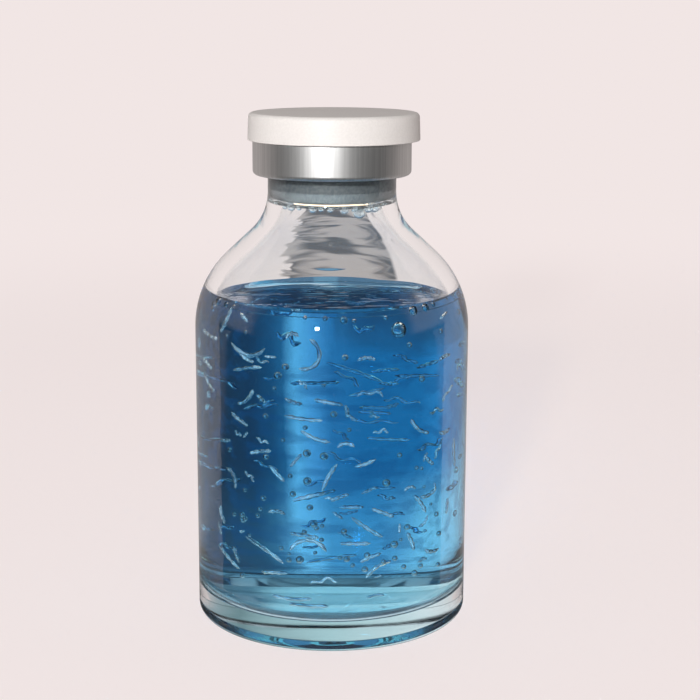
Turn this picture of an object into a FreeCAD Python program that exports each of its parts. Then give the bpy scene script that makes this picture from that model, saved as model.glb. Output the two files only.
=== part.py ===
"""Injection vial of clear moulded glass, nominal 30 ml, in millimetres.

The vial stands on its bearing ring at z = 0, with its axis on Z. A grey rubber stopper closes the
bore, an aluminium seal is crimped over the stopper and the lip, and a plastic flip cap is riveted
through the seal's tear-out disc. Blue gel fills the barrel, with pockets of air caught in it.
"""
import FreeCAD, Part
import math
import os

# Glass
BODY_DIAMETER = 36.0
GLASS_HEIGHT = 62.6
WALL = 1.9
FLOOR_THICKNESS = 3.4
FLOOR_CORNER = 2.5
HEEL_RADIUS = 1.4
BEARING_RING_WIDTH = 1.6
PUSH_UP = 0.7
PUSH_UP_EDGE = 1.2
SHOULDER_ANGLE = 46.8
SHOULDER_RADIUS = 13.2
FLARE_RADIUS = 6.9
NECK_DIAMETER = 16.7
NECK_LENGTH = 2.35
BORE_DIAMETER = 12.6
MOUTH_BEVEL = 0.5
LIP_DIAMETER = 20.0
LIP_HEIGHT = 3.5
LIP_EDGE = 0.6

# Gel
GEL_LEVEL = 42.8
MENISCUS_WIDTH = 1.9
MENISCUS_ANGLE = 42.0
MENISCUS_RADIUS = 2.0

# Air caught in the gel. A pocket's bearing goes round the vial from the front, its depth is measured
# in from the gel's wall, and its height is above the bearing ring.
POCKET_SIDES = 5
BUBBLE_CROWN = 0.85
THREAD_WIDTH = 0.56
THREAD_TIP = 0.45
THREAD_SPANS = 3

# Threads: bearing, depth, height, length, rise in degrees and bend in degrees
THREADS = [
    (-59.0, 2.0, 40.8, 3.6, 58, 10),
    (-71.0, 1.5, 38.7, 4.0, -5, 15),
    (-43.0, 2.0, 38.5, 5.8, 0, 95),
    (-45.0, 2.4, 37.0, 2.5, -25, 60),
    (-45.0, 2.5, 35.4, 4.6, 13, -15),
    (-74.0, 1.4, 34.8, 3.0, -17, 0),
    (-72.0, 1.4, 32.6, 3.8, -35, 50),
    (-45.0, 2.0, 31.9, 3.5, 42, 60),
    (-49.0, 2.0, 28.8, 3.1, -25, 20),
    (-37.0, 2.5, 24.9, 3.2, 14, -15),
    (-28.5, 3.0, 22.3, 2.6, -44, 15),
    (-55.0, 1.8, 20.7, 3.3, -55, -110),
    (-28.0, 2.5, 17.2, 2.3, 0, -55),
    (-61.0, 1.6, 15.4, 2.4, -65, 55),
    (-35.0, 2.5, 12.0, 5.9, -26, -12),
    (-57.0, 1.8, 9.9, 4.6, -27, 15),
    (-30.5, 3.0, 9.1, 3.5, 6, 0),
    (-21.0, 3.2, 6.1, 5.0, 2, 25),
    (17.0, 2.5, 37.2, 2.3, 0, -70),
    (-13.5, 2.5, 38.0, 5.8, -110, -175),
    (165.0, 8.5, 32.3, 5.6, 26, -10),
    (155.0, 5.6, 32.1, 2.7, -11, -15),
    (140.0, 4.0, 32.8, 2.6, -25, 0),
    (153.0, 2.0, 30.7, 3.5, 2, 0),
    (-169.0, 8.8, 31.0, 4.2, 0, 12),
    (161.0, 7.0, 29.4, 3.3, -20, 10),
    (-1.5, 2.5, 32.0, 3.4, -11, 0),
    (-14.0, 2.5, 29.9, 4.6, -5, 12),
    (163.0, 4.2, 26.0, 2.8, 3, -8),
    (46.5, 2.0, 28.0, 3.9, -38, 55),
    (63.5, 1.6, 26.6, 2.5, 0, 65),
    (151.0, 6.2, 22.9, 4.3, 0, 14),
    (-8.0, 2.5, 27.6, 3.7, -22, 30),
    (7.0, 2.5, 26.2, 2.3, 0, -115),
    (16.7, 2.5, 24.1, 2.7, 17, 25),
    (73.0, 1.4, 23.0, 4.0, -85, 12),
    (-1.0, 3.8, 22.1, 3.9, 64, -20),
    (-11.5, 3.0, 19.6, 4.1, 18, -12),
    (47.5, 2.2, 17.6, 3.4, -54, -25),
    (53.5, 2.2, 18.9, 3.0, 12, 70),
    (26.0, 2.5, 17.3, 3.2, -27, -5),
    (18.3, 3.0, 15.5, 4.8, -38, 10),
    (-15.0, 3.9, 14.3, 3.5, -6, 0),
    (-11.5, 2.5, 12.6, 5.5, 0, -135),
    (41.8, 2.3, 12.9, 2.8, -68, -25),
    (24.7, 3.0, 9.7, 3.8, 30, -55),
    (-46.0, 2.0, 41.6, 1.5, -35, 0),
    (-39.5, 3.6, 31.6, 1.6, -38, 0),
    (-59.0, 1.8, 25.5, 2.0, 11, 10),
    (-51.5, 1.8, 10.6, 2.2, -62, 0),
    (-11.5, 2.5, 5.4, 4.8, 0, 10),
    (0.0, 14.0, 8.8, 5.2, 12, -10),
    (-19.5, 2.5, 39.9, 1.9, 10, -120),
    (147.0, 6.8, 30.5, 1.6, -6, -30),
    (-18.8, 2.5, 32.0, 2.2, -15, 30),
    (7.5, 3.6, 30.6, 1.7, -82, -35),
    (162.0, 4.6, 26.8, 2.7, 0, 8),
    (53.5, 2.0, 23.1, 2.0, -42, 25),
    (63.0, 1.6, 36.2, 2.4, 5, -35),
    (-172.0, 8.0, 15.3, 3.2, -24, 0),
    (4.0, 2.5, 19.7, 2.3, 22, -15),
    (66.0, 1.4, 16.2, 2.1, -98, 10),
    (10.0, 3.0, 18.3, 2.9, -2, 0),
    (12.4, 3.4, 13.4, 3.6, -4, 5),
    (55.0, 1.8, 11.1, 2.8, -12, 50),
    (20.5, 3.0, 11.4, 2.7, 19, -20),
]

# Bubbles: bearing, depth, height, diameter
BUBBLES = [
    (-68.0, 1.3, 41.9, 0.9),
    (-27.0, 2.5, 35.1, 1.0),
    (-34.0, 2.5, 29.7, 0.7),
    (6.0, 3.0, 41.9, 0.9),
    (34.3, 2.5, 40.5, 1.9),
    (40.5, 2.5, 38.6, 0.7),
    (6.4, 2.5, 37.7, 0.8),
    (-23.0, 2.5, 36.3, 0.9),
    (48.3, 2.3, 34.0, 0.8),
    (1.0, 2.5, 30.5, 0.85),
    (-12.2, 2.5, 25.4, 1.0),
    (-3.8, 2.5, 25.1, 1.0),
    (-12.0, 2.5, 21.8, 1.0),
    (27.8, 2.5, 21.2, 1.0),
    (-8.8, 2.5, 16.2, 0.9),
    (-15.0, 1.6, 11.6, 1.0),
    (32.5, 2.5, 12.9, 1.0),
    (-35.5, 2.5, 18.9, 0.7),
    (-47.6, 2.0, 16.2, 0.7),
    (-47.6, 2.0, 8.0, 0.8),
]

# Stopper
STOPPER_SETBACK = 0.5
STOPPER_FLANGE_HEIGHT = 2.7
STOPPER_BEVEL = 0.3
PLUG_LENGTH = 7.1
PLUG_BAND_LENGTH = 5.6
PLUG_TIP_DIAMETER = 11.9
PLUG_TIP_EDGE = 0.7
PLUG_HOLLOW_DIAMETER = 7.2
PLUG_HOLLOW_DEPTH = 4.3
PLUG_HOLLOW_BEVEL = 1.1
TARGET_DIAMETER = 6.8
TARGET_DEPTH = 0.5

# Crimp seal
SEAL_WALL = 0.22
SEAL_CLEARANCE = 0.08
SEAL_BEND = 0.7
ROLL_RADIUS = 0.6
ROLL_WIDTH = 1.3
SLOT_INNER_DIAMETER = 8.6
SLOT_WIDTH = 0.4
BRIDGE_COUNT = 3
BRIDGE_WIDTH = 0.9
RIVET_CLEARANCE = 0.05

# Flip cap
CAP_PLATE = 1.36
CAP_HEIGHT = 3.54
CAP_CLEARANCE = 0.3
CAP_RIM_WALL = 0.57
CAP_DRAFT = 2.0
CAP_EDGE = 0.6
CAP_OFF_CENTRE = 0.24
CAP_LAND_WIDTH = 1.8
CAP_POCKET_DEPTH = 0.55
CAP_BOSS_DIAMETER = 6.4
CAP_RIB_COUNT = 6
CAP_RIB_WIDTH = 0.7
RIVET_DIAMETER = 3.0
RIVET_HEAD_DIAMETER = 4.8
RIVET_HEAD_HEIGHT = 0.35

# Radii and heights that follow from the sizes above
BODY_R = BODY_DIAMETER / 2
INNER_R = BODY_R - WALL
NECK_R = NECK_DIAMETER / 2
BORE_R = BORE_DIAMETER / 2
LIP_R = LIP_DIAMETER / 2
LIP_Z = GLASS_HEIGHT - LIP_HEIGHT
SLOPE = math.radians(SHOULDER_ANGLE)
HALF_TURN = math.tan(SLOPE / 2)
FLARE_CORNER_Z = LIP_Z - NECK_LENGTH - FLARE_RADIUS * HALF_TURN
SHOULDER_CORNER_Z = FLARE_CORNER_Z - (BODY_R - NECK_R) / math.tan(SLOPE)
INNER_SHOULDER_Z = SHOULDER_CORNER_Z - WALL * HALF_TURN
INNER_FLARE_Z = INNER_SHOULDER_Z + (INNER_R - BORE_R) / math.tan(SLOPE)
STOPPER_TOP_Z = GLASS_HEIGHT + STOPPER_FLANGE_HEIGHT
SEAL_TOP_Z = STOPPER_TOP_Z + SEAL_WALL
SEAL_R = LIP_R + SEAL_CLEARANCE + SEAL_WALL
ROLL_Z = LIP_Z - SEAL_WALL
SLOT_R = SLOT_INNER_DIAMETER / 2
CAP_TOP_Z = SEAL_TOP_Z + CAP_PLATE
CAP_LOW_Z = CAP_TOP_Z - CAP_HEIGHT
CAP_INNER_R = SEAL_R + CAP_CLEARANCE
CAP_R = CAP_INNER_R + CAP_RIM_WALL
RIVET_R = RIVET_DIAMETER / 2

ORIGIN = FreeCAD.Vector(0, 0, 0)
UP = FreeCAD.Vector(0, 0, 1)


def point(r, z):
    """A point of a section, at radius r and height z."""
    return FreeCAD.Vector(r, 0, z)


def section(corners):
    """A closed section from corners (r, z) or (r, z, radius), each rounded by its own radius."""
    sharp = [point(*corner[:2]) for corner in corners]
    ends = []
    for i, corner in enumerate(corners):
        here, before, after = sharp[i], sharp[i - 1], sharp[(i + 1) % len(sharp)]
        if len(corner) == 2:
            ends.append((here, None, here))
            continue
        back, on = (before - here).normalize(), (after - here).normalize()
        half = back.getAngle(on) / 2
        cut = corner[2] / math.tan(half)
        middle = (back + on).normalize() * (corner[2] / math.sin(half) - corner[2])
        ends.append((here + back * cut, here + middle, here + on * cut))
    edges = []
    for i, (start, middle, end) in enumerate(ends):
        if middle is not None:
            edges.append(Part.Arc(start, middle, end).toShape())
        following = ends[(i + 1) % len(ends)][0]
        edges.append(Part.LineSegment(end, following).toShape())
    return Part.Face(Part.Wire(edges))


def turned(corners):
    """A solid of revolution about the vial's axis."""
    return section(corners).revolve(ORIGIN, UP, 360)


def cylinder(radius, low, high, x=0.0):
    """An upright cylinder from height low to high, off centre by x."""
    return Part.makeCylinder(radius, high - low, FreeCAD.Vector(x, 0, low), UP)


def spokes(count, width, reach, low, high, x=0.0):
    """Bars that run out from the axis, evenly spaced."""
    centre = FreeCAD.Vector(x, 0, 0)
    bars = []
    for i in range(count):
        bar = Part.makeBox(reach, width, high - low, FreeCAD.Vector(x, -width / 2, low))
        bar.rotate(centre, UP, i * 360 / count)
        bars.append(bar)
    return Part.makeCompound(bars)


def glass_vial():
    """The moulded bottle: domed base on a bearing ring, barrel, round shoulder, flared neck and lip."""
    ring_inner = BODY_R - HEEL_RADIUS - BEARING_RING_WIDTH
    return turned([
        (0, PUSH_UP),
        (ring_inner - PUSH_UP_EDGE, PUSH_UP),
        (ring_inner, 0),
        (BODY_R, 0, HEEL_RADIUS),
        (BODY_R, SHOULDER_CORNER_Z, SHOULDER_RADIUS),
        (NECK_R, FLARE_CORNER_Z, FLARE_RADIUS),
        (NECK_R, LIP_Z),
        (LIP_R, LIP_Z, LIP_EDGE),
        (LIP_R, GLASS_HEIGHT, LIP_EDGE),
        (BORE_R + MOUTH_BEVEL, GLASS_HEIGHT),
        (BORE_R, GLASS_HEIGHT - MOUTH_BEVEL),
        *reversed(inner_wall()),
    ])


def inner_wall():
    """The cavity's wall from the middle of its floor to the bore. Its bends share the outer centres."""
    return [
        (0, FLOOR_THICKNESS),
        (INNER_R, FLOOR_THICKNESS, FLOOR_CORNER),
        (INNER_R, INNER_SHOULDER_Z, SHOULDER_RADIUS - WALL),
        (BORE_R, INNER_FLARE_Z, FLARE_RADIUS + NECK_R - BORE_R),
    ]


def ring(middle, rise, radius):
    """A many-sided ring about middle, square to a line at the front of the vial that climbs by rise."""
    across = FreeCAD.Vector(-math.sin(rise), 0, math.cos(rise))
    inward = FreeCAD.Vector(0, 1, 0)
    corners = []
    for i in range(POCKET_SIDES):
        turn = 2 * math.pi * i / POCKET_SIDES
        corners.append(middle + (across * math.cos(turn) + inward * math.sin(turn)) * radius)
    return Part.makePolygon([*corners, corners[0]])


def pocket(rings, bearing):
    """A pocket of air through the rings, carried round the vial to its bearing."""
    air = Part.makeLoft(rings, True, True)
    air.rotate(ORIGIN, UP, bearing)
    return air


def air_thread(bearing, depth, height, length, rise, bend):
    """A bent rod of air with thin ends, level with the wall at its bearing."""
    share = [i / THREAD_SPANS - 0.5 for i in range(THREAD_SPANS + 1)]
    rises = [math.radians(rise + bend * along) for along in share]
    spine = [FreeCAD.Vector(0, depth - INNER_R, height)]
    for before, after in zip(rises, rises[1:]):
        climb = (before + after) / 2
        step = FreeCAD.Vector(math.cos(climb), 0, math.sin(climb)) * (length / THREAD_SPANS)
        spine.append(spine[-1] + step)
    back = (spine[0] - spine[-1]) / 2
    last = len(spine) - 1
    rings = []
    for i, middle in enumerate(spine):
        size = THREAD_TIP if i in (0, last) else 1.0
        rings.append(ring(middle + back, rises[i], size * THREAD_WIDTH / 2))
    return pocket(rings, bearing)


def bubble(bearing, depth, height, diameter):
    """A small round pocket of air."""
    middle = FreeCAD.Vector(0, depth - INNER_R, height)
    radius = diameter / 2
    crown = UP * (radius * BUBBLE_CROWN)
    crown_radius = radius * math.sqrt(1 - BUBBLE_CROWN ** 2)
    upright = math.pi / 2
    rings = [
        ring(middle - crown, upright, crown_radius),
        ring(middle, upright, radius),
        ring(middle + crown, upright, crown_radius),
    ]
    return pocket(rings, bearing)


def blue_gel():
    """The fill: the cavity up to the level, where the surface climbs the glass in a meniscus."""
    cavity = turned([*inner_wall(), (BORE_R, LIP_Z), (0, LIP_Z)])
    level_corner = (INNER_R - MENISCUS_WIDTH, GEL_LEVEL, MENISCUS_RADIUS)
    reach = BODY_R - level_corner[0]
    rise = reach * math.tan(math.radians(MENISCUS_ANGLE))
    below = turned([
        (0, 0),
        (BODY_R, 0),
        (BODY_R, GEL_LEVEL + rise),
        level_corner,
        (0, GEL_LEVEL),
    ])
    air = [air_thread(*thread) for thread in THREADS]
    air += [bubble(*place) for place in BUBBLES]
    return cavity.common(below).cut(Part.makeCompound(air))


def rubber_stopper():
    """The stopper: a flange on the lip, and a plug with a sealing band, a tapered tip and a hollow."""
    target_r = TARGET_DIAMETER / 2
    hollow_r = PLUG_HOLLOW_DIAMETER / 2
    tip_z = GLASS_HEIGHT - PLUG_LENGTH
    hollow_z = tip_z + PLUG_HOLLOW_DEPTH
    flange_r = LIP_R - STOPPER_SETBACK
    return turned([
        (0, STOPPER_TOP_Z - TARGET_DEPTH),
        (target_r, STOPPER_TOP_Z - TARGET_DEPTH),
        (target_r, STOPPER_TOP_Z),
        (flange_r - STOPPER_BEVEL, STOPPER_TOP_Z),
        (flange_r, STOPPER_TOP_Z - STOPPER_BEVEL),
        (flange_r, GLASS_HEIGHT + STOPPER_BEVEL),
        (flange_r - STOPPER_BEVEL, GLASS_HEIGHT),
        (BORE_R, GLASS_HEIGHT),
        (BORE_R, GLASS_HEIGHT - PLUG_BAND_LENGTH),
        (PLUG_TIP_DIAMETER / 2, tip_z, PLUG_TIP_EDGE),
        (hollow_r, tip_z),
        (hollow_r, hollow_z - PLUG_HOLLOW_BEVEL),
        (hollow_r - PLUG_HOLLOW_BEVEL, hollow_z),
        (0, hollow_z),
    ])


def crimp_seal():
    """The aluminium seal: top plate, skirt and the roll that grips under the lip, with a tear-out disc."""
    roll_end = SEAL_R - ROLL_WIDTH
    inside = SEAL_R - SEAL_WALL
    shell = turned([
        (0, SEAL_TOP_Z),
        (SEAL_R, SEAL_TOP_Z, SEAL_BEND),
        (SEAL_R, ROLL_Z, ROLL_RADIUS),
        (roll_end, ROLL_Z),
        (roll_end, LIP_Z),
        (inside, LIP_Z, ROLL_RADIUS - SEAL_WALL),
        (inside, STOPPER_TOP_Z, SEAL_BEND - SEAL_WALL),
        (0, STOPPER_TOP_Z),
    ])
    slot = cylinder(SLOT_R + SLOT_WIDTH, STOPPER_TOP_Z, SEAL_TOP_Z)
    slot = slot.cut(cylinder(SLOT_R, STOPPER_TOP_Z, SEAL_TOP_Z))
    slot = slot.cut(spokes(BRIDGE_COUNT, BRIDGE_WIDTH, SEAL_R, STOPPER_TOP_Z, SEAL_TOP_Z))
    hole = cylinder(RIVET_R + RIVET_CLEARANCE, STOPPER_TOP_Z, SEAL_TOP_Z, CAP_OFF_CENTRE)
    return shell.cut(slot).cut(hole)


def flip_cap():
    """The plastic cap: a plate with a skirting rim, a ribbed pocket below and the rivet that holds it."""
    boss_r = CAP_BOSS_DIAMETER / 2
    land_r = CAP_INNER_R - CAP_LAND_WIDTH
    head_r = RIVET_HEAD_DIAMETER / 2
    top_r = CAP_R - CAP_HEIGHT * math.tan(math.radians(CAP_DRAFT))
    pocket_z = SEAL_TOP_Z + CAP_POCKET_DEPTH
    cap = turned([
        (0, CAP_TOP_Z),
        (top_r, CAP_TOP_Z, CAP_EDGE),
        (CAP_R, CAP_LOW_Z),
        (CAP_INNER_R, CAP_LOW_Z),
        (CAP_INNER_R, SEAL_TOP_Z),
        (land_r, SEAL_TOP_Z),
        (land_r, pocket_z),
        (boss_r, pocket_z),
        (boss_r, SEAL_TOP_Z),
        (RIVET_R, SEAL_TOP_Z),
        (RIVET_R, STOPPER_TOP_Z),
        (head_r, STOPPER_TOP_Z),
        (head_r, STOPPER_TOP_Z - RIVET_HEAD_HEIGHT),
        (0, STOPPER_TOP_Z - RIVET_HEAD_HEIGHT),
    ])
    ribs = spokes(CAP_RIB_COUNT, CAP_RIB_WIDTH, land_r, SEAL_TOP_Z, pocket_z)
    ribs = ribs.cut(cylinder(boss_r, SEAL_TOP_Z, pocket_z))
    cap = cap.fuse(ribs).removeSplitter()
    cap.translate(FreeCAD.Vector(CAP_OFF_CENTRE, 0, 0))
    return cap


NODES = {
    "glass_vial": glass_vial,
    "blue_gel": blue_gel,
    "rubber_stopper": rubber_stopper,
    "crimp_seal": crimp_seal,
    "flip_cap": flip_cap,
}

os.makedirs("parts", exist_ok=True)
for name, make in NODES.items():
    shape = make()
    solids = shape.Solids
    print(name, "solids", len(solids), "volume", round(shape.Volume, 1))
    shape = solids[0] if len(solids) == 1 else Part.makeCompound(solids)
    shape.exportStep(os.path.join("parts", name + ".step"))
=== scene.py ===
"""Looks of an injection vial of blue gel: clear moulded glass, a gel with air caught in it, a rubber
stopper, a satin aluminium crimp seal and a white flip cap. The frame gives each piece its place.
"""
import math
import random

import bmesh
import bpy
from mathutils import Matrix, Vector, noise


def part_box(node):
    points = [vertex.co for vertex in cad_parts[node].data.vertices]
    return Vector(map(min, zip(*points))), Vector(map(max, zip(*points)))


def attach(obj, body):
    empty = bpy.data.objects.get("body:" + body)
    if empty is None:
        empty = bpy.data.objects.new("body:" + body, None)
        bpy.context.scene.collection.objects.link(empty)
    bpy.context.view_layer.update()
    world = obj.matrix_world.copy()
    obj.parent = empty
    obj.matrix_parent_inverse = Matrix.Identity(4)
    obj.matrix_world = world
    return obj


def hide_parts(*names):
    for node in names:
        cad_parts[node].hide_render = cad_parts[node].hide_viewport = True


MM = 0.001

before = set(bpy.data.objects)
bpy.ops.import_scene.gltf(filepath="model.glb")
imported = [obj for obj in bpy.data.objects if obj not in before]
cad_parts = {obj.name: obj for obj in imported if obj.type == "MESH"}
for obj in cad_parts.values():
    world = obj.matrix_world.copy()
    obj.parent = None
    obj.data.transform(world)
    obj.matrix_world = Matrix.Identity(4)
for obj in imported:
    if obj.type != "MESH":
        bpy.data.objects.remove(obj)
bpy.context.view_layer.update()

# Sizes that the frame gives
glass_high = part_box("glass_vial")[1]
seal_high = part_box("crimp_seal")[1]
cap_low, cap_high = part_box("flip_cap")
BODY_R = glass_high.x
GLASS_HEIGHT = glass_high.z
SEAL_R = seal_high.x
SEAL_TOP_Z = seal_high.z
STOPPER_TOP_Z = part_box("rubber_stopper")[1].z
CAP_TOP_Z = cap_high.z
CAP_R = (cap_high.x - cap_low.x) / 2
CAP_X = (cap_high.x + cap_low.x) / 2

# Glass
WALL = 1.9 * MM
FLOOR_THICKNESS = 3.4 * MM
FLOOR_CORNER = 2.5 * MM
HEEL_RADIUS = 1.4 * MM
BEARING_RING_WIDTH = 1.6 * MM
PUSH_UP = 0.7 * MM
PUSH_UP_EDGE = 1.2 * MM
PUSH_UP_CORNER = 0.5 * MM
SHOULDER_ANGLE = math.radians(46.8)
SHOULDER_RADIUS = 13.2 * MM
FLARE_RADIUS = 6.9 * MM
NECK_R = 8.35 * MM
NECK_LENGTH = 2.35 * MM
NECK_FILLET = 0.5 * MM
BORE_R = 6.3 * MM
MOUTH_EDGE = 0.5 * MM
LIP_R = 10.0 * MM
LIP_HEIGHT = 3.5 * MM
LIP_EDGE = 0.6 * MM
INNER_R = BODY_R - WALL
LIP_Z = GLASS_HEIGHT - LIP_HEIGHT
HALF_TURN = math.tan(SHOULDER_ANGLE / 2)
FLARE_CORNER_Z = LIP_Z - NECK_LENGTH - FLARE_RADIUS * HALF_TURN
SHOULDER_CORNER_Z = FLARE_CORNER_Z - (BODY_R - NECK_R) / math.tan(SHOULDER_ANGLE)
INNER_SHOULDER_Z = SHOULDER_CORNER_Z - WALL * HALF_TURN
INNER_FLARE_Z = INNER_SHOULDER_Z + (INNER_R - BORE_R) / math.tan(SHOULDER_ANGLE)

# Gel
GEL_LEVEL = 42.8 * MM
GEL_LAP = 0.04 * MM
MENISCUS_WIDTH = 1.9 * MM
MENISCUS_ANGLE = math.radians(42.0)
MENISCUS_RADIUS = 2.0 * MM

# Stopper
STOPPER_SETBACK = 0.5 * MM
STOPPER_EDGE = 0.3 * MM
PLUG_LENGTH = 7.1 * MM
PLUG_BAND_LENGTH = 5.6 * MM
PLUG_SQUEEZE = 0.03 * MM
PLUG_TIP_R = 5.95 * MM
PLUG_TIP_EDGE = 0.7 * MM
PLUG_HOLLOW_R = 3.6 * MM
PLUG_HOLLOW_DEPTH = 4.3 * MM
PLUG_HOLLOW_CORNER = 1.5 * MM
TARGET_R = 3.4 * MM
TARGET_DEPTH = 0.5 * MM

# Crimp seal
SEAL_WALL = 0.22 * MM
SEAL_BEND = 0.7 * MM
ROLL_RADIUS = 0.6 * MM
ROLL_WIDTH = 1.3 * MM
ROLL_Z = LIP_Z - SEAL_WALL
SLOT_R = 4.3 * MM
SLOT_WIDTH = 0.4 * MM
BRIDGE_COUNT = 3
BRIDGE_WIDTH = 0.9 * MM
RIVET_CLEARANCE = 0.05 * MM

# Flip cap, whose rivet reaches below its rim
CAP_HEIGHT = 3.54 * MM
CAP_LOW_Z = CAP_TOP_Z - CAP_HEIGHT
CAP_INNER_R = SEAL_R + 0.3 * MM
CAP_DRAFT = math.radians(2.0)
CAP_EDGE = 0.6 * MM
CAP_LOWER_EDGE = 0.12 * MM
CAP_LAND_R = CAP_INNER_R - 1.8 * MM
CAP_POCKET_DEPTH = 0.55 * MM
CAP_BOSS_R = 3.2 * MM
CAP_RIB_COUNT = 6
CAP_RIB_WIDTH = 0.7 * MM
RIVET_R = 1.5 * MM
RIVET_HEAD_R = 2.4 * MM
RIVET_HEAD_HEIGHT = 0.35 * MM

# Air in the gel, as in the solid: threads are bearing, depth, height, length, rise and bend, and
# bubbles are bearing, depth, height and diameter, in degrees and millimetres
THREAD_WIDTH = 0.6
THREAD_RINGS = 14
THREAD_SIDES = 10
THREAD_TIP = 0.02
THREAD_TAPER = 0.9
THREAD_SWELL = 0.18
SWELL_STEP = 1.7
WRIGGLE_STEP = 0.8
BUBBLE_DETAIL = 3
THREADS = [
    (-59.0, 2.0, 40.8, 3.6, 58, 10),
    (-71.0, 1.5, 38.7, 4.0, -5, 15),
    (-43.0, 2.0, 38.5, 5.8, 0, 95),
    (-45.0, 2.4, 37.0, 2.5, -25, 60),
    (-45.0, 2.5, 35.4, 4.6, 13, -15),
    (-74.0, 1.4, 34.8, 3.0, -17, 0),
    (-72.0, 1.4, 32.6, 3.8, -35, 50),
    (-45.0, 2.0, 31.9, 3.5, 42, 60),
    (-49.0, 2.0, 28.8, 3.1, -25, 20),
    (-37.0, 2.5, 24.9, 3.2, 14, -15),
    (-28.5, 3.0, 22.3, 2.6, -44, 15),
    (-55.0, 1.8, 20.7, 3.3, -55, -110),
    (-28.0, 2.5, 17.2, 2.3, 0, -55),
    (-61.0, 1.6, 15.4, 2.4, -65, 55),
    (-35.0, 2.5, 12.0, 5.9, -26, -12),
    (-57.0, 1.8, 9.9, 4.6, -27, 15),
    (-30.5, 3.0, 9.1, 3.5, 6, 0),
    (-21.0, 3.2, 6.1, 5.0, 2, 25),
    (17.0, 2.5, 37.2, 2.3, 0, -70),
    (-13.5, 2.5, 38.0, 5.8, -110, -175),
    (165.0, 8.5, 32.3, 5.6, 26, -10),
    (155.0, 5.6, 32.1, 2.7, -11, -15),
    (140.0, 4.0, 32.8, 2.6, -25, 0),
    (153.0, 2.0, 30.7, 3.5, 2, 0),
    (-169.0, 8.8, 31.0, 4.2, 0, 12),
    (161.0, 7.0, 29.4, 3.3, -20, 10),
    (-1.5, 2.5, 32.0, 3.4, -11, 0),
    (-14.0, 2.5, 29.9, 4.6, -5, 12),
    (163.0, 4.2, 26.0, 2.8, 3, -8),
    (46.5, 2.0, 28.0, 3.9, -38, 55),
    (63.5, 1.6, 26.6, 2.5, 0, 65),
    (151.0, 6.2, 22.9, 4.3, 0, 14),
    (-8.0, 2.5, 27.6, 3.7, -22, 30),
    (7.0, 2.5, 26.2, 2.3, 0, -115),
    (16.7, 2.5, 24.1, 2.7, 17, 25),
    (73.0, 1.4, 23.0, 4.0, -85, 12),
    (-1.0, 3.8, 22.1, 3.9, 64, -20),
    (-11.5, 3.0, 19.6, 4.1, 18, -12),
    (47.5, 2.2, 17.6, 3.4, -54, -25),
    (53.5, 2.2, 18.9, 3.0, 12, 70),
    (26.0, 2.5, 17.3, 3.2, -27, -5),
    (18.3, 3.0, 15.5, 4.8, -38, 10),
    (-15.0, 3.9, 14.3, 3.5, -6, 0),
    (-11.5, 2.5, 12.6, 5.5, 0, -135),
    (41.8, 2.3, 12.9, 2.8, -68, -25),
    (24.7, 3.0, 9.7, 3.8, 30, -55),
    (-46.0, 2.0, 41.6, 1.5, -35, 0),
    (-39.5, 3.6, 31.6, 1.6, -38, 0),
    (-59.0, 1.8, 25.5, 2.0, 11, 10),
    (-51.5, 1.8, 10.6, 2.2, -62, 0),
    (-11.5, 2.5, 5.4, 4.8, 0, 10),
    (0.0, 14.0, 8.8, 5.2, 12, -10),
    (-19.5, 2.5, 39.9, 1.9, 10, -120),
    (147.0, 6.8, 30.5, 1.6, -6, -30),
    (-18.8, 2.5, 32.0, 2.2, -15, 30),
    (7.5, 3.6, 30.6, 1.7, -82, -35),
    (162.0, 4.6, 26.8, 2.7, 0, 8),
    (53.5, 2.0, 23.1, 2.0, -42, 25),
    (63.0, 1.6, 36.2, 2.4, 5, -35),
    (-172.0, 8.0, 15.3, 3.2, -24, 0),
    (4.0, 2.5, 19.7, 2.3, 22, -15),
    (66.0, 1.4, 16.2, 2.1, -98, 10),
    (10.0, 3.0, 18.3, 2.9, -2, 0),
    (12.4, 3.4, 13.4, 3.6, -4, 5),
    (55.0, 1.8, 11.1, 2.8, -12, 50),
    (20.5, 3.0, 11.4, 2.7, 19, -20),
]
BUBBLES = [
    (-68.0, 1.3, 41.9, 0.9),
    (-27.0, 2.5, 35.1, 1.0),
    (-34.0, 2.5, 29.7, 0.7),
    (6.0, 3.0, 41.9, 0.9),
    (34.3, 2.5, 40.5, 1.9),
    (40.5, 2.5, 38.6, 0.7),
    (6.4, 2.5, 37.7, 0.8),
    (-23.0, 2.5, 36.3, 0.9),
    (48.3, 2.3, 34.0, 0.8),
    (1.0, 2.5, 30.5, 0.85),
    (-12.2, 2.5, 25.4, 1.0),
    (-3.8, 2.5, 25.1, 1.0),
    (-12.0, 2.5, 21.8, 1.0),
    (27.8, 2.5, 21.2, 1.0),
    (-8.8, 2.5, 16.2, 0.9),
    (-15.0, 1.6, 11.6, 1.0),
    (32.5, 2.5, 12.9, 1.0),
    (-35.5, 2.5, 18.9, 0.7),
    (-47.6, 2.0, 16.2, 0.7),
    (-47.6, 2.0, 8.0, 0.8),
]

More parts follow.
